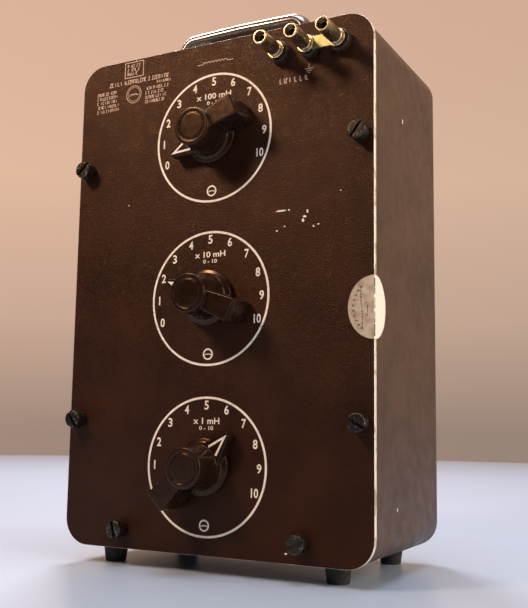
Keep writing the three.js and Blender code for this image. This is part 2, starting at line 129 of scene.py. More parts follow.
def add_rings(bm, rings, joined=False):
    """Skins a stack of equal rings of points; its ends are capped, or joined to each other."""
    made = [[bm.verts.new(point) for point in ring] for ring in rings]
    pairs = list(zip(made, made[1:]))
    if joined:
        pairs.append((made[-1], made[0]))
    for low, high in pairs:
        for i in range(len(low)):
            after = (i + 1) % len(low)
            bm.faces.new((low[i], low[after], high[after], high[i]))
    if not joined:
        bm.faces.new(made[0])
        bm.faces.new(made[-1][::-1])


def about_y(x, z, y):
    return Vector((x, y, z)) * MM


def lathe(profile, steps, place=about_y):
    """A solid of revolution about Y from a closed loop of (radius, y)."""
    bm = bmesh.new()
    rings = []
    for radius, y in profile:
        if radius < NEAR_AXIS:
            rings.append([bm.verts.new(place(0, 0, y))] * steps)
            continue
        angles = [2 * math.pi * i / steps for i in range(steps)]
        points = [place(radius * math.sin(a), radius * math.cos(a), y) for a in angles]
        rings.append([bm.verts.new(point) for point in points])
    for low, high in zip(rings, rings[1:] + rings[:1]):
        for i in range(steps):
            after = (i + 1) % steps
            corners = list(dict.fromkeys((low[i], low[after], high[after], high[i])))
            if len(corners) > 2:
                bm.faces.new(corners)
    return bm


def slab(outline, out_low, out_high, edge=0.0):
    """An outline in X and Z given thickness in front of the panel, its front rim rounded."""
    steps = 3
    bm = bmesh.new()

    def ring(points, out):
        return [Vector((x * MM, -out * MM, z * MM)) for x, z in points]

    rings = [ring(outline, out_low)]
    if edge:
        for step in range(steps + 1):
            angle = math.pi / 2 * step / steps
            drawn_in = inset(outline, edge * (1 - math.cos(angle))) if step else outline
            rings.append(ring(drawn_in, out_high - edge + edge * math.sin(angle)))
    else:
        rings.append(ring(outline, out_high))
    add_rings(bm, rings)
    return bm


def ribbon(points, width, out_low, out_high, closed=False):
    """A thin flat band of the given width along a run of points in X and Z."""
    least_lean = 0.35  # keeps a sharp corner from running away
    rings = []
    for i, point in enumerate(points):
        here = Vector(point)
        after = Vector(points[(i + 1) % len(points)]) - here
        before = here - Vector(points[i - 1])
        if not closed and i == 0:
            before = after
        if not closed and i == len(points) - 1:
            after = before
        along = (before.normalized() + after.normalized()).normalized()
        across = Vector((-along.y, along.x))
        lean = max(across.dot(Vector((-after.y, after.x)).normalized()), least_lean)
        reach = across * (width / 2 / lean)
        left, right = here + reach, here - reach
        section = [(left, out_low), (right, out_low), (right, out_high), (left, out_high)]
        rings.append([Vector((side.x, -out, side.y)) * MM for side, out in section])
    bm = bmesh.new()
    add_rings(bm, rings, joined=closed)
    return bm


def merged(*parts):
    """Several bmeshes as one."""
    whole = bmesh.new()
    for part in parts:
        held = bpy.data.meshes.new("held")
        part.to_mesh(held)
        part.free()
        whole.from_mesh(held)
        bpy.data.meshes.remove(held)
    return whole


def moved(bm, place=(0, 0, 0), turn=0.0, axis="Y"):
    """Turned about an axis, then moved, in metres; about Y, seen from in front, clockwise."""
    matrix = Matrix.Translation(place) @ Matrix.Rotation(turn, 4, axis)
    bmesh.ops.transform(bm, matrix=matrix, verts=bm.verts)
    return bm


def added(name, data):
    """A new object in the scene."""
    made = bpy.data.objects.new(name, data)
    bpy.context.scene.collection.objects.link(made)
    return made


def baked(bm, *modifiers):
    """The bmesh after a run of modifiers, each a (type, settings) pair."""
    bmesh.ops.recalc_face_normals(bm, faces=bm.faces)
    mesh = bpy.data.meshes.new("held")
    bm.to_mesh(mesh)
    bm.free()
    holder = added("held", mesh)
    for kind, settings in modifiers:
        modifier = holder.modifiers.new(kind, kind)
        for name, value in settings.items():
            setattr(modifier, name, value)
    graph = bpy.context.evaluated_depsgraph_get()
    result = bmesh.new()
    result.from_mesh(holder.evaluated_get(graph).to_mesh())
    bpy.data.objects.remove(holder)
    bpy.data.meshes.remove(mesh)
    return result


def moulded(voxel, smoothing, *parts):
    """Overlapping solids fused into one body whose edges and inner corners are soft."""
    return baked(
        merged(*parts),
        ("REMESH", {"mode": "VOXEL", "voxel_size": voxel * MM}),
        ("SMOOTH", {"factor": 0.5, "iterations": smoothing}),
    )


def cut_by(bm, cutter):
    """The first solid less the second."""
    mesh = bpy.data.meshes.new("cutter")
    bmesh.ops.recalc_face_normals(cutter, faces=cutter.faces)
    cutter.to_mesh(mesh)
    cutter.free()
    holder = added("cutter", mesh)
    settings = {"operation": "DIFFERENCE", "solver": "EXACT", "object": holder}
    result = baked(bm, ("BOOLEAN", settings))
    bpy.data.objects.remove(holder)
    bpy.data.meshes.remove(mesh)
    return result


def curve_mesh(curve):
    """A curve or text datablock as a closed bmesh, lying in X and Y."""
    holder = added("held", curve)
    graph = bpy.context.evaluated_depsgraph_get()
    bm = bmesh.new()
    bm.from_mesh(holder.evaluated_get(graph).to_mesh())
    bpy.data.objects.remove(holder)
    bpy.data.curves.remove(curve)
    bmesh.ops.remove_doubles(bm, verts=bm.verts, dist=1e-6)
    return bm


def upright(bm, out):
    """From lying in X and Y to standing in front of the panel by a distance in mm."""
    return moved(bm, (0, -out * MM, 0), math.pi / 2, "X")


def piece(name, bm, finishes, body, stands_for=(), sharp=35):
    """Makes the finished object and ties it to its body; a finish is a slot or a material."""
    finishes = finishes if isinstance(finishes, tuple) else (finishes,)
    bmesh.ops.recalc_face_normals(bm, faces=bm.faces)
    mesh = bpy.data.meshes.new(name)
    bm.to_mesh(mesh)
    bm.free()
    for finish in finishes:
        mesh.materials.append(FINISHES.get(finish, finish))
    mesh.shade_smooth()
    mesh.set_sharp_from_angle(angle=math.radians(sharp))
    made = added(name, mesh)
    normals = made.modifiers.new("flat_faces_stay_flat", "WEIGHTED_NORMAL")
    normals.keep_sharp = True
    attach(made, body)
    if stands_for:
        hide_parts(*stands_for)


# -------------------- materials


class Shading:
    """A tree of shader nodes; most methods return the output of the node that they add."""

    def __init__(self, tree, coordinates):
        self.tree = tree
        self.place = self.node("ShaderNodeTexCoord").outputs[coordinates]

    def feed(self, socket, value):
        if isinstance(value, bpy.types.NodeSocket):
            self.tree.links.new(value, socket)
        elif isinstance(value, tuple) and socket.type == "RGBA" and len(value) == 3:
            socket.default_value = (*value, 1)
        else:
            socket.default_value = value

    def node(self, kind, inputs=None, **settings):
        made = self.tree.nodes.new(kind)
        for name, value in settings.items():
            setattr(made, name, value)
        for name, value in (inputs or {}).items():
            self.feed(made.inputs[name], value)
        return made

    def stretched(self, scale):
        """The coordinates scaled along each axis; a small scale draws features out."""
        inputs = {"Vector": self.place, "Scale": scale}
        return self.node("ShaderNodeMapping", inputs).outputs["Vector"]

    def noise(self, size, detail=3.0, place=None):
        """Grey clouds whose features are about size mm across."""
        inputs = {"Vector": place or self.place, "Scale": 1 / (size * MM), "Detail": detail}
        return self.node("ShaderNodeTexNoise", inputs).outputs["Fac"]

    def cells(self, size, feature, place):
        """Distances inside a net of cells about size mm across."""
        inputs = {"Vector": place, "Scale": 1 / (size * MM)}
        made = self.node("ShaderNodeTexVoronoi", inputs, feature=feature)
        return made.outputs["Distance"]

    def rippled(self, size, amount):
        """The coordinates pushed about by noise, by an amount in mm."""
        inputs = {"Vector": self.place, "Scale": 1 / (size * MM), "Detail": 2.0}
        clouds = self.node("ShaderNodeTexNoise", inputs).outputs["Color"]
        push = self.vector("SCALE", clouds, amount * MM)
        return self.vector("ADD", self.place, push)

    def vector(self, operation, a, b):
        name = "Scale" if operation == "SCALE" else 1
        made = self.node("ShaderNodeVectorMath", operation=operation)
        self.feed(made.inputs[0], a)
        self.feed(made.inputs[name], b)
        return made.outputs[0]

    def maths(self, operation, a, b=0.0):
        made = self.node("ShaderNodeMath", operation=operation)
        self.feed(made.inputs[0], a)
        self.feed(made.inputs[1], b)
        return made.outputs[0]

    def span(self, value, low, high, to_low=0.0, to_high=1.0):
        """Maps low..high to to_low..to_high, clamped."""
        inputs = {"Value": value, "From Min": low, "From Max": high}
        inputs.update({"To Min": to_low, "To Max": to_high})
        return self.node("ShaderNodeMapRange", inputs).outputs["Result"]

    def mix(self, share, a, b, kind="MIX"):
        settings = {"data_type": "RGBA", "blend_type": kind}
        made = self.node("ShaderNodeMix", {"Factor": share}, **settings)
        self.feed(made.inputs["A"], a)
        self.feed(made.inputs["B"], b)
        return made.outputs["Result"]

    def axis(self, letter):
        return self.node("ShaderNodeSeparateXYZ", {"Vector": self.place}).outputs[letter]

    def ramp(self, value, low, high, stops):
        """Colours along a value from low to high, as (share of the way, colour) pairs."""
        made = self.node("ShaderNodeValToRGB", {"Fac": self.span(value, low, high)})
        points = made.color_ramp.elements
        while len(points) < len(stops):
            points.new(0.5)
        for point, (where, colour) in zip(points, stops):
            point.position = where
            point.color = (*colour, 1)
        return made.outputs["Color"]


class Finish(Shading):
    """One procedural material, in the object's own coordinates."""

    def __init__(self, name, **surface):
        self.material = bpy.data.materials.new(name)
        self.material.use_nodes = True
        super().__init__(self.material.node_tree, "Object")
        self.surface = self.tree.nodes["Principled BSDF"]
        self.set(**surface)

    def set(self, **surface):
        """Sets or feeds the surface's inputs, named in lower case with underscores."""
        for name, value in surface.items():
            title = name.replace("_", " ").title().replace("Ior", "IOR")
            self.feed(self.surface.inputs[title], value)

    def blend(self, share, a, b):
        """Colours the surface from a to b as the share goes from 0 to 1."""
        self.set(base_color=self.mix(share, a, b))

    def bump(self, height, depth):
        """Adds relief of depth mm on top of any already there."""
        inputs = {"Height": height, "Distance": depth * MM, "Strength": 1.0}
        earlier = self.surface.inputs["Normal"].links
        if earlier:
            inputs["Normal"] = earlier[0].from_socket
        self.set(normal=self.node("ShaderNodeBump", inputs).outputs["Normal"])


def crackle_paint(name, dark, light, grain=1.3, shine=0.4, glare=(1, 1, 1)):
    """Wrinkle enamel: a net of fine raised folds, with pale specks that are painted glints on the
    wrinkles and partly dust.
    """
    finish = Finish(name, specular_ior_level=shine, specular_tint=glare)
    warped = finish.rippled(4, 1.6)
    folds = finish.span(finish.cells(grain, "DISTANCE_TO_EDGE", warped), 0.0, 0.35)
    specks = finish.noise(0.5, 2.0)
    patches = finish.noise(38, 4.0)
    colour = finish.mix(finish.span(patches, 0.2, 0.85), dark, light)
    # pale specks, four times the light tone: painted glints on the wrinkles, with some dust
    pale = tuple(4 * c for c in light)
    dust_and_glints = finish.mix(finish.span(specks, 0.62, 0.8, 0, 0.35), colour, pale)
    roughness = finish.span(finish.noise(9, 3.0), 0.3, 0.7, 0.35, 0.55)
    finish.set(base_color=dust_and_glints, roughness=roughness)
    finish.bump(folds, 0.10)
    finish.bump(specks, 0.05)
    return finish.material


def bare_aluminium(name):
    """A sawn and handled edge: fine lengthwise scratches and grey nicks."""
    finish = Finish(name, metallic=0.45)
    scratches = finish.noise(1.0, 4.0, finish.stretched((1, 1, 0.06)))
    nicks = finish.span(finish.noise(7, 5.0), 0.52, 0.62)
    finish.blend(nicks, (0.92, 0.86, 0.74), (0.50, 0.42, 0.32))
    finish.set(roughness=finish.span(scratches, 0.3, 0.7, 0.40, 0.60))
    finish.bump(scratches, 0.04)
    return finish.material


def phenolic(name, colour=(0.012, 0.0055, 0.0035)):
    """Dark compression moulding: glossy, warm in its shine, with a faint handling haze."""
    finish = Finish(name, specular_ior_level=0.34, specular_tint=(1, 0.58, 0.34))
    finish.set(coat_weight=0.10, coat_roughness=0.12)
    haze = finish.span(finish.noise(11, 4.0), 0.35, 0.7)
    browner = tuple(1.6 * c for c in colour)
    finish.blend(haze, colour, browner)
    finish.set(roughness=finish.span(finish.noise(4, 4.0), 0.3, 0.7, 0.22, 0.32))
    finish.bump(finish.noise(0.35, 2.0), 0.010)
    return finish.material


def print_paint(name, colour=(0.96, 0.88, 0.78)):
    """Filled engraving in aged white: slightly uneven and rubbed."""
    finish = Finish(name, roughness=0.6)
    rubbed = finish.span(finish.noise(2.2, 5.0), 0.56, 0.72, 0, 0.55)
    finish.blend(rubbed, colour, tuple(0.45 * c for c in colour))
    finish.bump(finish.noise(0.4, 2.0), 0.02)
    return finish.material


def brass(name, bright, dull):
    """Lacquered brass with tarnish in patches and turning marks round its axis."""
    finish = Finish(name, metallic=1.0)
    tarnish = finish.span(finish.noise(5, 5.0), 0.4, 0.62)
    marks = finish.noise(0.5, 2.0, finish.stretched((0.15, 1, 0.15)))
    finish.blend(tarnish, bright, dull)
    finish.set(roughness=finish.span(tarnish, 0, 1, 0.22, 0.38))
    finish.bump(marks, 0.004)
    return finish.material


def blackened_steel(name):
    """Black oxide over steel, rubbed through to metal in fine specks."""
    finish = Finish(name, metallic=0.85)
    worn = finish.span(finish.noise(1.4, 6.0), 0.60, 0.70)
    finish.blend(worn, (0.045, 0.038, 0.033), (0.34, 0.30, 0.26))
    finish.set(roughness=finish.span(finish.noise(2, 3.0), 0.3, 0.7, 0.25, 0.42))
    finish.bump(finish.noise(0.5, 3.0), 0.02)
    return finish.material


def rubber(name):
    finish = Finish(name)
    dust = finish.span(finish.noise(4, 5.0), 0.5, 0.75, 0, 0.5)
    finish.blend(dust, (0.016, 0.015, 0.015), (0.07, 0.066, 0.062))
    finish.set(roughness=finish.span(finish.noise(1.5), 0.3, 0.7, 0.6, 0.85))
    finish.bump(finish.noise(0.6, 3.0), 0.05)
    return finish.material


def grained_cover(name):
    """Pebbled leathercloth over the handle, thickly lacquered and polished by hands."""
    finish = Finish(name, coat_weight=1.0, coat_roughness=0.10, coat_ior=2.0)
    pebbles = finish.cells(1.1, "SMOOTH_F1", finish.rippled(2, 0.5))
    wear = finish.span(finish.noise(14, 4.0), 0.45, 0.7)
    finish.blend(wear, (0.040, 0.030, 0.024), (0.10, 0.078, 0.062))
    finish.set(roughness=finish.span(wear, 0, 1, 0.38, 0.26))
    finish.bump(pebbles, 0.05)
    return finish.material


def nickel(name):
    finish = Finish(name, metallic=1.0)
    dulled = finish.span(finish.noise(6, 5.0), 0.42, 0.66)
    finish.blend(dulled, (0.70, 0.66, 0.60), (0.42, 0.38, 0.33))
    finish.set(roughness=finish.span(dulled, 0, 1, 0.18, 0.36))
    finish.bump(finish.noise(0.7, 3.0), 0.01)
    return finish.material


def turned_steel(name):
    finish = Finish(name, metallic=1.0)
    rings = finish.noise(0.4, 2.0, finish.stretched((0.1, 1, 0.1)))
    stain = finish.span(finish.noise(4, 4.0), 0.45, 0.7)
    finish.blend(stain, (0.52, 0.52, 0.53), (0.30, 0.28, 0.27))
    finish.set(roughness=finish.span(rings, 0.3, 0.7, 0.28, 0.42))
    finish.bump(rings, 0.02)
    return finish.material


def laminate(name):
    """Paper laminate: warm brown with long fibres and a satin face."""
    finish = Finish(name, roughness=0.45)
    fibres = finish.noise(2.0, 6.0, finish.stretched((1, 0.3, 0.12)))
    finish.blend(fibres, (0.17, 0.075, 0.03), (0.36, 0.19, 0.09))
    finish.bump(fibres, 0.03)
    return finish.material


def winding(name):
    """Enamelled wire laid round a core, seen as close parallel ridges."""
    finish = Finish(name, metallic=0.6, roughness=0.35)
    across = finish.maths("MULTIPLY", finish.axis("Y"), 2 * math.pi / (0.6 * MM))
    ridges = finish.span(finish.maths("SINE", across), -1, 1)
    shade = finish.noise(5, 3.0)
    finish.blend(shade, (0.42, 0.16, 0.06), (0.66, 0.31, 0.13))
    finish.bump(ridges, 0.25)
    return finish.material


def aged_paper(name):
    """Varnished label paper: stained on the panel, and painted much paler where it is folded to
    the side, as painted light from the side lamp.
    """
    finish = Finish(name, roughness=0.6, coat_weight=0.7, coat_roughness=0.16)
    stains = finish.span(finish.noise(5, 5.0), 0.40, 0.66)
    fibres = finish.noise(0.5, 4.0)
    soiled = finish.mix(stains, (0.62, 0.52, 0.39), (0.39, 0.29, 0.20))
    # painted light: past the panel's edge the paper is painted much paler, for the side lamp
    # falling on it
    painted_light_past_edge = finish.span(finish.axis("X"), PANEL_HIGH.x - 0.3 * MM, PANEL_HIGH.x)
    finish.blend(painted_light_past_edge, soiled, (0.93, 0.88, 0.76))
    finish.bump(fibres, 0.03)
    return finish.material


def printing_ink(name):
    finish = Finish(name, roughness=0.7)
    faded = finish.span(finish.noise(1.5, 4.0), 0.4, 0.7)
    finish.blend(faded, (0.06, 0.045, 0.04), (0.20, 0.16, 0.13))
    return finish.material


FINISHES = {
    "crackle_paint": crackle_paint("crackle_paint", (0.042, 0.019, 0.0085), (0.092, 0.044, 0.021)),
    "panel_paint": crackle_paint(
        "panel_paint", (0.012, 0.0036, 0.0016), (0.042, 0.0125, 0.0056), 1.0, 0.25, (1, 0.70, 0.50)
    ),
    "black_oxide_steel": blackened_steel("black_oxide_steel"),
    "foot_rubber": rubber("foot_rubber"),
    "handle_leather_grain": grained_cover("handle_leather_grain"),
    "nickel_plate": nickel("nickel_plate"),
    "seal_paper": aged_paper("seal_paper"),
    "black_phenolic": phenolic("black_phenolic"),
    "shaft_steel": turned_steel("shaft_steel"),
    "brown_laminate": laminate("brown_laminate"),
    "coil_winding": winding("coil_winding"),
    "post_brass": brass("post_brass", (0.82, 0.67, 0.45), (0.36, 0.27, 0.14)),
    "post_base_plastic": phenolic("post_base_plastic", (0.026, 0.018, 0.012)),
    "link_plate": brass("link_plate", (0.46, 0.44, 0.25), (0.26, 0.26, 0.13)),
}
BARE_EDGE = bare_aluminium("bare_aluminium")
PRINT = print_paint("print_paint")
SMALL_PRINT = print_paint("small_print_paint", (0.56, 0.42, 0.32))
INK = printing_ink("printing_ink")


def finish_cad_nodes():
    """Gives every CAD node the material of its slot."""
    for part in RECORD["subparts"]:
        slots = frame["nodes"][part["node"]].data.materials
        slots.clear()
        slots.append(FINISHES[part["material_slot"]])


# -------------------- case and panel


def panel_holes():
    """(x, z, radius) of each hole, in mm: bushings, post spigots and screws."""
    holes = [(*centre.xz / MM, 4.9) for centre in DIAL_CENTRES.values()]
    holes += [(*centre.xz / MM, 4.4) for centre in POST_CENTRES.values()]
    holes += [(*middle(f"panel_screw_{i}").xz / MM, 2.4) for i in range(1, 7)]
    return holes


def front_panel():
    """A thick plate with rounded rims: painted in front, bare metal round its edge."""
    width, thickness, height = (PANEL_HIGH - PANEL_LOW) / MM
    centre = (PANEL_LOW + PANEL_HIGH) / 2 / MM
    rim = 0.35
    curve = bpy.data.curves.new("panel", "CURVE")
    curve.dimensions = "2D"
    curve.fill_mode = "BOTH"
    curve.extrude = (thickness / 2 - rim) * MM
    curve.bevel_depth = rim * MM
    curve.bevel_resolution = 2
    curve.offset = -rim * MM
    outline = rounded_rectangle(width, height, PANEL_CORNER, 14)
    outlines = [[(x + centre.x, z + centre.z) for x, z in outline]]
    for x, z, radius in panel_holes():
        angles = [-2 * math.pi * i / 32 for i in range(32)]
        outlines.append([(x + radius * math.cos(a), z + radius * math.sin(a)) for a in angles])
    for points in outlines:
        spline = curve.splines.new("POLY")
        spline.points.add(len(points) - 1)
        spline.use_cyclic_u = True
        for point, (x, z) in zip(spline.points, points):
            point.co = (x * MM, z * MM, 0, 1)
    bm = upright(curve_mesh(curve), 0)
    moved(bm, (0, centre.y * MM, 0))
    bm.normal_update()
    nearly_flat = 0.95
    for face in bm.faces:
        face.material_index = 0 if abs(face.normal.y) > nearly_flat else 1
    piece("front_panel_plate", bm, ("panel_paint", BARE_EDGE), "case", ["front_panel"])


def case_shell():
    """The five-sided box: plain sides, a rounded rear edge and a turned-in rear face."""
    low, high = CASE_LOW / MM, CASE_HIGH / MM
    width, _, height = high - low
    centre = (low + high) / 2
    rear_edge, wall, lip = 10.0, 2.0, 0.3
    edge_steps = 8

    def ring(y, drawn_in):
        outline = rounded_rectangle(
            width - 2 * drawn_in, height - 2 * drawn_in, max(CASE_CORNER - drawn_in, 2), 10
        )
        return [Vector((x + centre.x, y, z + centre.z)) * MM for x, z in outline]

    def skin(drawn_in, front):
        rings = [ring(front, drawn_in)]
        radius = rear_edge - drawn_in
        for step in range(edge_steps + 1):
            angle = math.pi / 2 * step / edge_steps
            y = high.y - rear_edge + radius * math.sin(angle)
            rings.append(ring(y, drawn_in + radius * (1 - math.cos(angle))))
        return rings

    outer = skin(0, low.y + lip)
    mouth = [ring(low.y, lip)]
    inner = skin(wall, low.y)
    bm = bmesh.new()
    add_rings(bm, inner[::-1] + mouth + outer)
    piece("case_cover", bm, "crackle_paint", "case", ["case_shell"])


def screws():
    """Slotted cheese-head screws, with a rounded rim, each turned its own way."""
    head_radius, shank_radius, shank_end, rim = 5.3, 2.1, 12, 0.9
    seat = 0.3
    top = seat + 8.0
    slot_half, slot_depth = 0.85, 2.6
    slot_angles = (55, 30, 135, 128, 75, 160)
    for number, angle in enumerate(slot_angles, start=1):
        profile = soften([
            (0, -top), (head_radius, -top, rim), (head_radius, -seat, 0.3),
            (shank_radius, -seat), (shank_radius, shank_end, 0.6), (0, shank_end),
        ])
        reach = head_radius + 1
        channel = slab(
            [(-reach, -slot_half), (reach, -slot_half), (reach, slot_half), (-reach, slot_half)],
            top - slot_depth, top + 1,
        )
        body = cut_by(lathe(profile, 48), channel)
        body = baked(body, ("BEVEL", {"width": 0.18 * MM, "segments": 2, "angle_limit": 0.7}))
        place = middle(f"panel_screw_{number}")
        moved(body, (place.x, FRONT, place.z), math.radians(angle))
        piece(f"cheese_head_screw_{number}", body, "black_oxide_steel", "case",
              [f"panel_screw_{number}"])


def feet():
    """Tapered rubber feet with a blind hole in the underside."""
    hole, hole_end, tread, top, height = 2.6, 5.2, 6.2, 7.6, 10.5
    profile = soften([
        (hole, 0, 0.4), (tread, 0, 0.8), (top, height, 0.3), (0, height), (0, hole_end),
        (hole, hole_end, 0.4),
    ])
    for corner in ("front_left", "front_right", "rear_left", "rear_right"):
        place = middle(f"foot_{corner}")
        bm = moved(lathe(profile, 48), (place.x, place.y, 0), math.pi / 2, "X")
        piece(f"rubber_foot_{corner}", bm, "foot_rubber", "case", [f"foot_{corner}"])


# -------------------- handle


def handle_line(half_thickness):
    """Points of the handle's centre line in X and Z, in mm, from left to right."""
    bend, bow, bow_radius, foot_height = 8.5, 0.5, 400, 3
    end_x = (middle("handle_bracket_right").x - middle("handle_bracket_left").x) / 2 / MM
    base = CASE_HIGH.z / MM + foot_height
    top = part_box("carry_handle")[1].z / MM - half_thickness
    corners = [
        (-end_x, base), (-end_x, top - bow, bend), (0, top + bow, bow_radius),
        (end_x, top - bow, bend), (end_x, base),
    ]
    return soften(corners, 14)


def carry_handle():
    """A flattened bar bowed between its brackets, covered and seamed underneath."""
    half_width, half_thickness, seam_height, sides = 8.0, 5.0, 0.35, 40
    depth_y = middle("carry_handle").y
    line = handle_line(half_thickness)
    rings = []
    for i, (x, z) in enumerate(line):
        x0, z0 = line[max(i - 1, 0)]
        x1, z1 = line[min(i + 1, len(line) - 1)]
        along = Vector((x1 - x0, z1 - z0)).normalized()
        outwards = Vector((-along.y, along.x))
        ring = []
        for step in range(sides):
            angle = 2 * math.pi * step / sides
            side = half_width * math.cos(angle)
            seam = seam_height if step == sides * 3 // 4 else 0
            reach = half_thickness * math.sin(angle) + seam
            ring.append(Vector((
                (x + outwards.x * reach) * MM,
                depth_y + side * MM,
                (z + outwards.y * reach) * MM,
            )))
        rings.append(ring)
    bm = bmesh.new()
    add_rings(bm, rings)
    bm = baked(bm, ("SUBSURF", {"levels": 1, "render_levels": 1}))
    piece("handle_bar", bm, "handle_leather_grain", "case", ["carry_handle"], 60)


def handle_brackets():
    """Cast sockets on foot plates, each held by two domed rivets."""
    plate_thickness, wall, rivet_x = 2.4, 1.7, 10.5
    collar_width, collar_depth, collar_height = 16.4, 22, 9
    rivet = soften([(0, -3.6), (1.9, -3.3, 0.9), (1.9, -1), (0, -1)])
    for side in ("left", "right"):
        low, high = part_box(f"handle_bracket_{side}")
        place = Vector(((low.x + high.x) / 2, (low.y + high.y) / 2, low.z))
        plate = slab(rounded_rectangle(26, 24, 4), 0, plate_thickness, 0.6)
        collar = rounded_rectangle(collar_width, collar_depth, 5)
        collar = slab(collar, 0.2, collar_height, 1.0)
        rivets = [moved(lathe(rivet, 24), (x * MM, 0, 0)) for x in (-rivet_x, rivet_x)]
        body = moulded(0.35, 5, plate, collar, *rivets)
        opening = rounded_rectangle(collar_width - 2 * wall, collar_depth - 2 * wall, 4)
        body = cut_by(body, slab(opening, plate_thickness, collar_height + 3))
        moved(body, place, -math.pi / 2, "X")
        piece(f"handle_socket_{side}", body, "nickel_plate", "case", [f"handle_bracket_{side}"])


# -------------------- knobs

NOSE_TOP = 8.2


def knob_body():
    """A skirted boss with a low pointed nose, a tall flaring tail and a ring in its cap."""
    base, cap, tail_top = 1.2, 24.4, 21.9
    bore, bore_end, recess, recess_end = 3.4, 19.5, 9.2, 5.2
    skirt, skirt_top, boss, boss_foot = 16.5, 3.8, 13.4, 4.8
    ring_outside, ring_inside, ring_floor = 8.9, 7.9, 23.7
    nose_root, nose_tip, tail_root, tail_end = 10, 26.6, -9.6, -28.1
    core = lathe(soften([
        (bore, -bore_end), (bore, -recess_end), (recess, -recess_end), (recess, -base),
        (skirt, -base, 0.3), (skirt, -skirt_top, 0.7), (boss, -boss_foot, 2.0),
        (boss - 1.2, -9), (boss - 2, -cap, 0.9),
        (ring_outside, -cap, 0.2), (ring_outside, -ring_floor),
        (ring_inside, -ring_floor), (ring_inside, -cap, 0.2), (0, -cap), (0, -bore_end),
    ]), 96)
    nose = slab(soften([
        (-8, nose_root), (8, nose_root), (1.5, nose_tip, 0.6), (-1.5, nose_tip, 0.6),
    ]), base, NOSE_TOP, 0.5)
    tail = slab(soften([
        (-7, tail_end, 1.6), (7, tail_end, 1.6), (5.5, tail_root), (-5.5, tail_root),
    ]), base, tail_top, 0.6)
    return moulded(0.3, 4, core, nose, tail)


def pointer_mark():
    """The white V along the nose, a little proud of it."""
    tip, back, half_width, line = 24.2, 13.0, 3.4, 1.3
    points = [(-half_width, back), (0, tip), (half_width, back)]
    return ribbon(points, line, NOSE_TOP - 0.2, NOSE_TOP + 0.12)


def knobs():
    """One knob mesh, set on each shaft at its own setting, with its white mark."""
    body = bpy.data.meshes.new("knob")
    knob_body().to_mesh(body)
    for name, (_, setting) in DECADES.items():
        centre = DIAL_CENTRES[name]
        place = (centre.x, FRONT, centre.z)
        turn = ZERO + setting * STEP
        bm = bmesh.new()
        bm.from_mesh(body)
        body_name = f"{name}_control"
        piece(f"{name}_bar_knob", moved(bm, place, turn), "black_phenolic", body_name,
              [f"{name}_knob"], 40)
        piece(f"{name}_pointer_mark", moved(pointer_mark(), place, turn), PRINT, body_name)
    bpy.data.meshes.remove(body)


# -------------------- printing

PRINT_LOW, PRINT_HIGH = -0.05, 0.06  # how far in front of the panel print starts and ends


def inked(points, width, closed=False):
    """A printed line."""
    return ribbon(points, width, PRINT_LOW, PRINT_HIGH, closed)


def circle(radius, line, x=0.0, z=0.0):
    return inked(arc(radius, 0, 360, x, z, 120)[:-1], line, closed=True)


def arc(radius, start, end, x=0.0, z=0.0, steps=24):
    """Points on a circle; angles run clockwise from straight up, in degrees."""
    angles = [math.radians(start + (end - start) * i / steps) for i in range(steps + 1)]
    return [(x + radius * math.sin(a), z + radius * math.cos(a)) for a in angles]


def bar(x, z, width, height):
    """A filled rectangle centred on a point."""
    w, h = width / 2, height / 2
    corners = [(x - w, z - h), (x + w, z - h), (x + w, z + h), (x - w, z + h)]
    return slab(corners, PRINT_LOW, PRINT_HIGH)


def figures(text, x, z, height, width):
    """Figures of a given height and width in mm, centred on a point."""
    curve = bpy.data.curves.new(text, "FONT")
    curve.body = text
    curve.align_x = "CENTER"
    curve.resolution_u = 4
    curve.offset = 0.02
    bm = curve_mesh(curve)
    xs = [v.co.x for v in bm.verts]
    ys = [v.co.y for v in bm.verts]
    across = width / (max(xs) - min(xs))
    upwards = height / (max(ys) - min(ys))
    centre = Vector(((max(xs) + min(xs)) / 2, (max(ys) + min(ys)) / 2, 0))
    bmesh.ops.translate(bm, vec=-centre, verts=bm.verts)
    bmesh.ops.scale(bm, vec=(across * MM, upwards * MM, 1), verts=bm.verts)
    bmesh.ops.remove_doubles(bm, verts=bm.verts, dist=1e-7)
    lift = bmesh.ops.extrude_face_region(bm, geom=bm.faces[:])
    raised = [item for item in lift["geom"] if isinstance(item, bmesh.types.BMVert)]
    bmesh.ops.translate(bm, vec=(0, 0, (PRINT_HIGH - PRINT_LOW) * MM), verts=raised)
    upright(bm, PRINT_LOW)
    return moved(bm, (x * MM, 0, z * MM))


def coil_sign(x, z, width, turns, line):
    """The drawn symbol of an inductor: a row of half turns between two leads."""
    lead = 0.16 * width
    radius = (width - 2 * lead) / (2 * turns)
    points = [(x - width / 2, z)]
    for turn in range(turns):
        centre = x - width / 2 + lead + radius * (2 * turn + 1)
        points += arc(radius, -90, 90, centre, z, 10)
    points.append((x + width / 2, z))
    return inked(points, line)


def dial_print(name, multiplier):
    """Ring, figures, range and a small round emblem of one dial."""
    ring_radius, figure_radius, figure_height = 39.3, 35, 5.2
    narrow_figure, plain_figure, wide_figure = 0.9, 2.9, 4.6
    factor_z, range_z, emblem_z = 26, 21.9, -33
    parts = [circle(ring_radius, 1.3)]
    for number in range(11):
        angle = ZERO + number * STEP
        x, z = figure_radius * math.sin(angle), figure_radius * math.cos(angle)
        width = {1: narrow_figure, 10: wide_figure}.get(number, plain_figure)
        parts.append(figures(str(number), x, z, figure_height, width))
    factor_width = 14.1 + 3.4 * len(multiplier)
    parts.append(figures(f"x {multiplier} mH", 0, factor_z, 3.6, factor_width))
    parts.append(figures("0 - 10", 0, range_z, 2.3, 9.5))
    parts.append(circle(2.9, 0.9, 0, emblem_z))
    parts.append(coil_sign(0, emblem_z - 0.4, 4.6, 3, 0.45))
    centre = DIAL_CENTRES[name]
    bm = moved(merged(*parts), (centre.x, FRONT, centre.z))
    piece(f"{name}_dial_print", bm, PRINT, "case")


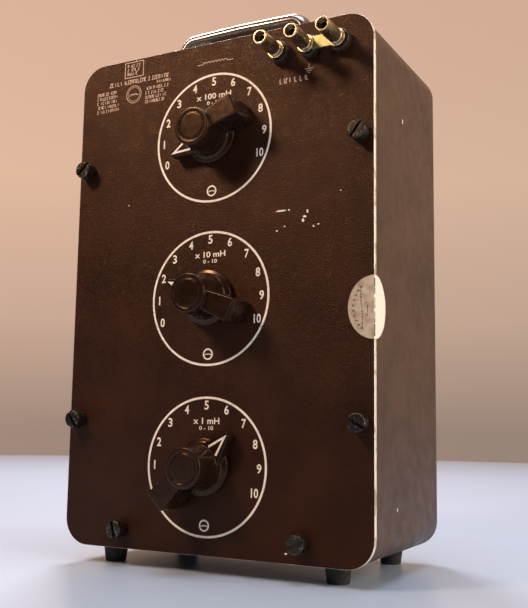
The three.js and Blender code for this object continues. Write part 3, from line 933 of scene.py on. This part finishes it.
def small_marks(draw, x_low, x_high, z, height):
    """A row of tiny strokes and hooks that stands in for small lettering."""
    parts = []
    narrow, wide, gap, word_gap = 0.3, 0.55, 0.28, 0.8
    line = 0.16 * height + 0.12
    low, high = z - height / 2, z + height / 2
    x = x_low
    while x < x_high - narrow * height:
        right = x + height * draw.uniform(narrow, wide)
        strokes = (
            [(right, low), (right, high)],
            [(right, high), (x, high), (x, low), (right, low)],
            [(x, low), (x, high), (right, high), (right, low)],
            [(x, high), (x, low), (right, low)],
            [(x, high), (right, high), (x, low), (right, low)],
        )
        parts.append(inked(draw.choice(strokes), line))
        x = right + height * draw.choice((gap, gap, gap, word_gap))
    return parts


def mark_block(draw, x_low, x_high, z_high, rows, pitch, height):
    """Several rows of small marks, each a little shorter or longer than the last."""
    parts = []
    for row in range(rows):
        end = x_high - draw.uniform(0, 0.25) * (x_high - x_low)
        parts += small_marks(draw, x_low, end, z_high - row * pitch, height)
    return parts


def nameplate_print():
    """The maker's block at the top left: a plain frame, small marks and a round emblem."""
    draw = random.Random(3)
    top = PANEL_HIGH.z / MM
    left, right, frame_low, frame_high = -68.6, -54.4, top - 11.6, top - 1.6
    emblem_x, emblem_z = -61.2, top - 23.2
    corners = [(left, frame_low), (right, frame_low), (right, frame_high), (left, frame_high)]
    parts = [inked(corners, 0.5, closed=True)]
    parts += mark_block(draw, left + 2, right - 1.5, frame_high - 2.4, 3, 2.6, 1.7)
    parts += small_marks(draw, -80.5, -34.5, top - 14.6, 2.3)
    parts += small_marks(draw, -43.5, -33.4, top - 17.8, 1.5)
    parts += mark_block(draw, -90, -70.5, top - 19.6, 5, 2.9, 1.7)
    parts += mark_block(draw, -52, -33.4, top - 21.0, 4, 2.9, 1.7)
    parts.append(circle(5.6, 0.45, emblem_x, emblem_z))
    parts.append(circle(4.5, 0.25, emblem_x, emblem_z))
    parts.append(coil_sign(emblem_x, emblem_z - 0.6, 7.0, 3, 0.5))
    piece("nameplate_print", moved(merged(*parts), (0, FRONT, 0)), SMALL_PRINT, "case")


def legend_print():
    """The inductor sign above the top dial, and an earth sign and marks by the posts."""
    draw = random.Random(8)
    top = PANEL_HIGH.z / MM
    earth_x, earth_z, line, pitch = 62, top - 28.0, 0.4, 1.2
    words_z, word_height = top - 32.9, 2.8
    parts = [coil_sign(-1, top - 12.9, 25, 7, 0.42)]
    for row, width in enumerate((5.0, 3.2, 1.4)):
        parts.append(bar(earth_x, earth_z - row * pitch, width, line))
    parts.append(bar(earth_x, earth_z + 1.4, line, 2.8))
    parts += small_marks(draw, 43.5, 50.5, words_z, word_height)
    parts += small_marks(draw, 53.0, 62.0, words_z, word_height)
    piece("legend_print", moved(merged(*parts), (0, FRONT, 0)), SMALL_PRINT, "case")


def blot(draw, x, z, width, height):
    """A ragged fleck of bare or splashed paint."""
    points = []
    sides = 14
    for i in range(sides):
        angle = 2 * math.pi * i / sides
        reach = draw.uniform(0.65, 1.0)
        points.append((x + width / 2 * reach * math.cos(angle),
                       z + height / 2 * reach * math.sin(angle)))
    return slab(points, PRINT_LOW, PRINT_HIGH)


def paint_flecks():
    """Splashes and chips, most of them to the right between the upper two dials."""
    draw = random.Random(5)
    flecks = [  # x, z, width, height
        (45.1, 205.0, 7.8, 1.1), (50.2, 205.1, 1.2, 1.2), (61.8, 203.3, 1.5, 2.2),
        (59.1, 198.4, 2.0, 2.6), (47.5, 195.8, 1.2, 1.0), (42.7, 193.6, 1.5, 1.0),
        (65.6, 194.4, 1.4, 1.4), (68.6, 195.3, 1.6, 1.0), (60.0, 200.4, 2.6, 1.4),
        (50.6, 15.5, 2.2, 1.2), (82.0, 213.0, 0.8, 0.8), (-62.0, 219.0, 0.8, 0.8),
    ]
    parts = [blot(draw, *fleck) for fleck in flecks]
    piece("paint_flecks", moved(merged(*parts), (0, FRONT, 0)), PRINT, "case")
    side_chips = [(3.4, 264.5, 1.4, 3.4), (-8.6, 38.7, 1.2, 2.6)]
    bm = merged(*[blot(draw, *chip) for chip in side_chips])
    piece("side_chips", moved(bm, (CASE_HIGH.x, 0, 0), math.pi / 2, "Z"), PRINT, "case")


# -------------------- calibration seal


SEAL_RADIUS = 17.2
SEAL_WIDTH = 0.88  # the old disc is a little narrower than tall
PAPER = 0.14  # thickness


def crumple(u, v):
    """How far the old paper stands off: slight waves, more towards its rim."""
    waves, gap, rim_lift, ripple = 0.16, 0.04, 0.16, 0.05
    rim = min(math.hypot(u, v) / SEAL_RADIUS, 1.0)
    wave = noise.noise(Vector((u * waves, v * waves, 2.0)))
    return gap + rim_lift * rim**3 * (0.5 + wave) + ripple * abs(wave)


def folded(u, v, lift):
    """A point of the crumpled disc, u mm across the fold and v mm up, lifted off the box."""
    lift += crumple(u, v)
    u *= SEAL_WIDTH
    low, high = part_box("calibration_seal")
    corner = Vector((high.x / MM, low.y / MM))
    bend = 0.9
    quarter = bend * math.pi / 2
    if u < -quarter / 2:
        x, y = corner.x - bend + (u + quarter / 2), corner.y - lift
    elif u > quarter / 2:
        x, y = corner.x + lift, corner.y + bend + (u - quarter / 2)
    else:
        angle = (u + quarter / 2) / bend
        x = corner.x - bend + (bend + lift) * math.sin(angle)
        y = corner.y + bend - (bend + lift) * math.cos(angle)
    z = (low.z + high.z) / 2 / MM + v
    return Vector((x, y, z)) * MM


def seal():
    """A paper disc folded over the panel's right edge."""
    rings, spokes = 26, 96
    reaches = [SEAL_RADIUS * ring / rings for ring in range(rings + 1)]
    under = [(reach, 0.0) for reach in reaches]
    over = [(reach, PAPER) for reach in reversed(reaches)]
    bm = lathe(under + over, spokes, folded)
    piece("seal_disc", bm, "seal_paper", "case", ["calibration_seal"], 50)


def seal_print():
    """An arc of blurred stamped marks, two upright rows of them and a broken dark crease."""
    draw = random.Random(11)
    bm = bmesh.new()

    def stamp(u, v, along, across, turn=0.0):
        """A small bar that lies on the bent paper."""
        corners = [(-along, -across), (along, -across), (along, across), (-along, across)]
        cos, sin = math.cos(turn), math.sin(turn)
        rings = []
        for lift in (PAPER - 0.03, PAPER + 0.05):
            ring = []
            for a, b in corners:
                pu, pv = u + a * cos - b * sin, v + a * sin + b * cos
                ring.append(folded(pu, pv, lift))
            rings.append(ring)
        add_rings(bm, rings)

    arc_radius, thin = 13.8, 0.22
    for degrees in range(127, 247, 12):
        angle = math.radians(degrees)
        u, v = arc_radius * math.cos(angle), arc_radius * math.sin(angle)
        for side in (-1, 1):
            shift = side * draw.uniform(0.3, 0.6)
            stamp(u + shift, v, thin, draw.uniform(0.5, 0.95), angle + draw.uniform(-0.5, 0.5))
        stamp(u, v, draw.uniform(0.4, 0.8), thin, angle)
    for column, low, high in ((-7.6, -10.5, 9.5), (-4.4, -4.0, 3.0)):
        v = low
        while v < high:
            height = draw.uniform(0.35, 0.9)
            lean = 0.06 * (v - low)
            stamp(column - lean + draw.uniform(-0.2, 0.2), v, draw.uniform(0.15, 0.5), height)
            v += 2 * height + 0.5
    crease_end, crease_half, share_dark = 14.5, 0.34, 0.75
    v = -crease_end
    while v < crease_end:
        length = draw.uniform(0.8, 2.4)
        if draw.random() < share_dark:
            stamp(0, v, crease_half, length / 2)
        v += length
    piece("seal_print", bm, INK, "case")


# -------------------- binding posts


def post_piece(number, name, profile, steps, body, stands_for, slot="post_brass"):
    """Turns a profile round a post's axis and ties it to its body and its CAD node."""
    centre = POST_CENTRES[number]
    bm = moved(lathe(profile, steps), (centre.x, FRONT, centre.z))
    piece(f"post_{number}_{name}", bm, slot, body, [f"post_{number}_{stands_for}"])


def post_stud(number):
    """A threaded rod with a jack hole in its front end."""
    front, hole_end, back = -24.4, -8.4, 15
    hole, root, crest, tip = 2.05, 2.42, 2.7, 2.5
    pitch, turns = 0.8, 47
    profile = [(hole, front), (tip, front)]
    for turn in range(1, turns + 1):
        y = front + turn * pitch
        profile += [(crest, y), (root, y + pitch / 2)]
    profile += [(tip, back), (0, back), (0, hole_end), (hole, hole_end)]
    post_piece(number, "jack_stud", profile, 32, "case", "stud")


def post_collar(number):
    """An insulating base whose spigot passes through the panel."""
    hole, spigot, flange = 3.0, 4.1, 6.5
    profile = soften([
        (hole, -5.5, 0.3), (flange, -5.5, 1.0), (flange, -0.3, 0.4), (spigot, -0.3),
        (spigot, 3.2, 0.3), (hole, 3.2),
    ])
    post_piece(number, "collar", profile, 48, "case", "base", "post_base_plastic")


def post_washer(number):
    hole, radius, thickness = 3.0, 5.2, 0.8
    front = (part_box(f"post_{number}_washer")[0].y - FRONT) / MM
    back = front + thickness
    profile = soften([
        (hole, front, 0.12), (radius, front, 0.3), (radius, back, 0.3), (hole, back, 0.12),
    ])
    post_piece(number, "clamp_washer", profile, 48, f"post_{number}_clamp", "washer")


def post_nut(number):
    """A long tube with a shallow groove near its back and a countersunk mouth."""
    hole, radius, groove = 3.0, 4.2, 3.9
    low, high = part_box(f"post_{number}_thumb_nut")
    mouth, back = (low.y - FRONT) / MM, (high.y - FRONT) / MM
    profile = soften([
        (hole, back, 0.2), (radius, back, 0.3), (radius, back - 1.2, 0.2),
        (groove, back - 1.5, 0.2), (groove, back - 2.1, 0.2), (radius, back - 2.4, 0.2),
        (radius, mouth, 0.45), (3.3, mouth, 0.3), (hole, mouth + 1.4),
    ])
    post_piece(number, "jack_nut", profile, 56, f"post_{number}_nut", "thumb_nut")


def shorting_link():
    """A flat bar from the right post to a hook, open underneath, on the middle post."""
    width, clearance = 7.6, 3.0
    spacing = (POST_CENTRES[3].x - POST_CENTRES[2].x) / MM
    low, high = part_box("shorting_link")
    out_low, out_high = (FRONT - high.y) / MM, (FRONT - low.y) / MM
    left = (low.x - POST_CENTRES[3].x) / MM
    half = width / 2
    hook = [(-spacing - clearance, -half, 0.5)]
    hook += [(x, z) for x, z in arc(clearance, -90, 90, -spacing, 0, 20)]
    hook += [(-spacing + clearance, -half, 0.5)]
    end = 3.7
    outline = [(left, -half, 2.0)] + hook
    outline += [(half, -half, end), (half, half, end), (left, half, end)]
    bar_body = slab(soften(outline, 8), out_low, out_high, 0.2)
    hole = moved(lathe([(0, -12), (clearance, -12), (clearance, -2), (0, -2)], 40))
    body = cut_by(bar_body, hole)
    centre = POST_CENTRES[3]
    moved(body, (centre.x, FRONT, centre.z))
    piece("link_bar", body, "link_plate", "link", ["shorting_link"])


# -------------------- stage


def floor():
    """A round pale table top, and its material."""
    table_radius = 1.65
    finish = Finish("table_top", roughness=0.32)
    clouds = finish.noise(260, 3.0)
    finish.blend(clouds, (0.37, 0.49, 0.69), (0.415, 0.535, 0.75))
    bm = bmesh.new()
    bmesh.ops.create_circle(bm, cap_ends=True, segments=128, radius=table_radius)
    mesh = bpy.data.meshes.new("table_top")
    bm.to_mesh(mesh)
    bm.free()
    mesh.materials.append(finish.material)
    added("table_top", mesh)


def area_light(name, direction, distance, size, power, colour):
    """A soft square light that faces the middle of the box."""
    aim = Vector((0, 0, 0.16))
    data = bpy.data.lights.new(name, "AREA")
    data.size = size
    data.energy = power
    data.color = colour
    lamp = added(name, data)
    lamp.location = aim + Vector(direction).normalized() * distance
    lamp.rotation_euler = (aim - lamp.location).to_track_quat("-Z", "Y").to_euler()


def room():
    """A bright warm wall behind the box and a dim room behind the camera."""
    world = bpy.data.worlds.new("room")
    world.use_nodes = True
    sky = Shading(world.node_tree, "Generated")
    wall = sky.ramp(sky.axis("Z"), -0.1, 0.5, [
        (0.15, (0.36, 0.25, 0.20)), (0.35, (0.60, 0.40, 0.30)),
        (0.60, (0.76, 0.49, 0.35)), (1.0, (0.72, 0.44, 0.32)),
    ])
    dim = sky.ramp(sky.axis("Z"), -1, 1, [
        (0.0, (0.06, 0.07, 0.09)), (0.5, (0.025, 0.017, 0.012)), (1.0, (0.22, 0.115, 0.06)),
    ])
    falloff = sky.ramp(sky.axis("X"), -0.75, -0.15, [(0.0, (1, 1, 1)), (1.0, (0.87, 0.91, 0.93))])
    shaded_wall = sky.mix(1.0, wall, falloff, "MULTIPLY")
    behind = sky.span(sky.axis("Y"), -0.2, 0.5)
    background = sky.tree.nodes["Background"]
    sky.feed(background.inputs["Color"], sky.mix(behind, dim, shaded_wall))
    bpy.context.scene.world = world
    bpy.context.scene.view_settings.view_transform = "Standard"


def lights():
    """A small warm key at the left front, and soft lights right, above and behind."""
    rows = (  # name, direction, distance, size, power, colour
        ("key_light", (-17, -27, 26), 0.74, 0.14, 3.9, (1.0, 0.66, 0.42)),
        ("side_light", (1, -0.06, 0.35), 1.6, 1.0, 20, (1.0, 0.85, 0.65)),
        ("table_light", (0.1, -0.12, 1), 1.6, 0.9, 17, (0.88, 0.92, 1.0)),
        ("rim_light", (-0.45, 0.6, 0.72), 1.5, 0.45, 20, (1.0, 0.95, 0.9)),
    )
    for row in rows:
        area_light(*row)


def camera():
    """Close in front, to the right and low, looking slightly up with a slight roll."""
    data = bpy.data.cameras.new("camera")
    data.sensor_width = 36
    data.lens = 52.86
    eye = added("camera", data)
    matrix = Matrix.Translation((0.27143, -0.48800, 0.08591))
    to_the_left, upwards, roll, from_down_to_ahead = 28.11, 7.51, -0.85, 90
    turns = (("Z", to_the_left), ("X", upwards), ("Y", roll), ("X", from_down_to_ahead))
    for axis, angle in turns:
        matrix = matrix @ Matrix.Rotation(math.radians(angle), 4, axis)
    eye.matrix_world = matrix
    bpy.context.scene.camera = eye


# -------------------- the whole scene

finish_cad_nodes()
front_panel()
case_shell()
screws()
feet()
carry_handle()
handle_brackets()
knobs()
for dial, (factor, _) in DECADES.items():
    dial_print(dial, factor)
nameplate_print()
legend_print()
paint_flecks()
seal()
seal_print()
for post_number in POSTS:
    post_stud(post_number)
    post_collar(post_number)
    post_washer(post_number)
    post_nut(post_number)
shorting_link()
floor()
room()
lights()
camera()
